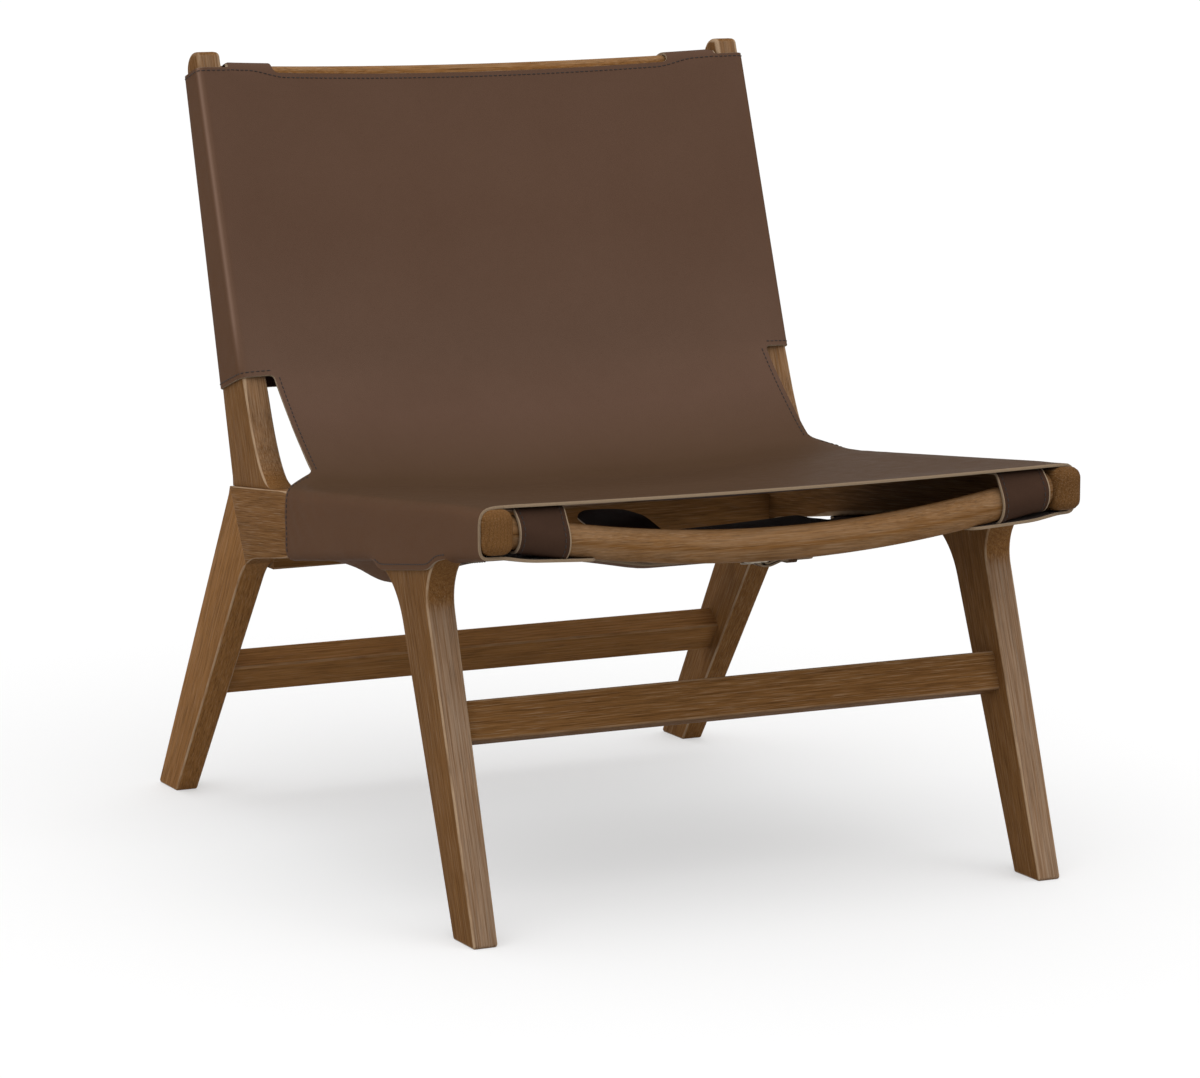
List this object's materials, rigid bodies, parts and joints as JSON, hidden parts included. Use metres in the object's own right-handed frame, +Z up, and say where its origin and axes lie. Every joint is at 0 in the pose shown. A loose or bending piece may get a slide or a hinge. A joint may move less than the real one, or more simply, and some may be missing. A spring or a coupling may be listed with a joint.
{
  "type": "leather sling lounge chair",
  "caption": "Low wooden lounge chair with splayed legs and a single leather sheet slung over its frame as seat and back, drawn tight by buckled straps.",
  "frame": {"origin": "on the floor, under the middle of the chair's width and of its length from the side rails' front ends to the rear feet", "axes": "+Z up, -Y the way the sitter faces, +X across the chair to the left-hand side of someone who sits in it"},
  "size_m": [0.6468, 0.854, 0.798],
  "materials": {
    "wood": "walnut stain, open grain, satin, worn pale along the edges",
    "hide": "thick saddle leather, dark brown, semi-matte, with pale raw edges",
    "metal": "plated steel wire, slightly tarnished"
  },
  "bodies": {
    "chair": {"side_rail_left": "wood", "side_rail_right": "wood", "front_leg_left": "wood", "front_leg_right": "wood", "rear_leg_left": "wood", "rear_leg_right": "wood", "back_post_left": "wood", "back_post_right": "wood", "front_leg_tenon_left": "wood", "front_leg_tenon_right": "wood", "rear_leg_tenon_left": "wood", "rear_leg_tenon_right": "wood", "post_tenon_left": "wood", "post_tenon_right": "wood", "front_seat_rail": "wood", "rear_seat_rail": "wood", "top_back_rail": "wood", "front_stretcher": "wood", "rear_stretcher": "wood", "leather_sling": "hide", "front_tab_left": "hide", "front_tab_right": "hide", "seat_front_tongue": "hide", "seat_front_buckle_strap": "hide", "seat_front_keeper": "hide", "seat_front_buckle": "metal", "seat_rear_tongue": "hide", "seat_rear_buckle_strap": "hide", "seat_rear_keeper": "hide", "seat_rear_buckle": "metal", "back_lower_tongue": "hide", "back_lower_buckle_strap": "hide", "back_lower_keeper": "hide", "back_lower_buckle": "metal", "back_upper_tongue": "hide", "back_upper_buckle_strap": "hide", "back_upper_keeper": "hide", "back_upper_buckle": "metal"},
    "seat_front_prong": {"seat_front_prong": "metal"},
    "seat_rear_prong": {"seat_rear_prong": "metal"},
    "back_lower_prong": {"back_lower_prong": "metal"},
    "back_upper_prong": {"back_upper_prong": "metal"}
  },
  "joints": [
    {"name": "seat_front_prong_hinge", "type": "hinge", "parent": "chair", "child": "seat_front_prong", "pos_m": [0.041, -0.2842, 0.32634], "axis": [0, -0.9995, 0.0322], "range_deg": [0, 80]},
    {"name": "seat_rear_prong_hinge", "type": "hinge", "parent": "chair", "child": "seat_rear_prong", "pos_m": [0.041, -0.1192, 0.32102], "axis": [0, -0.9995, 0.0322], "range_deg": [0, 80]},
    {"name": "back_lower_prong_hinge", "type": "hinge", "parent": "chair", "child": "back_lower_prong", "pos_m": [0.041, 0.26108, 0.52783], "axis": [0, -0.2672, -0.9636], "range_deg": [0, 80]},
    {"name": "back_upper_prong_hinge", "type": "hinge", "parent": "chair", "child": "back_upper_prong", "pos_m": [0.041, 0.29713, 0.65783], "axis": [0, -0.2672, -0.9636], "range_deg": [0, 80]}
  ]
}
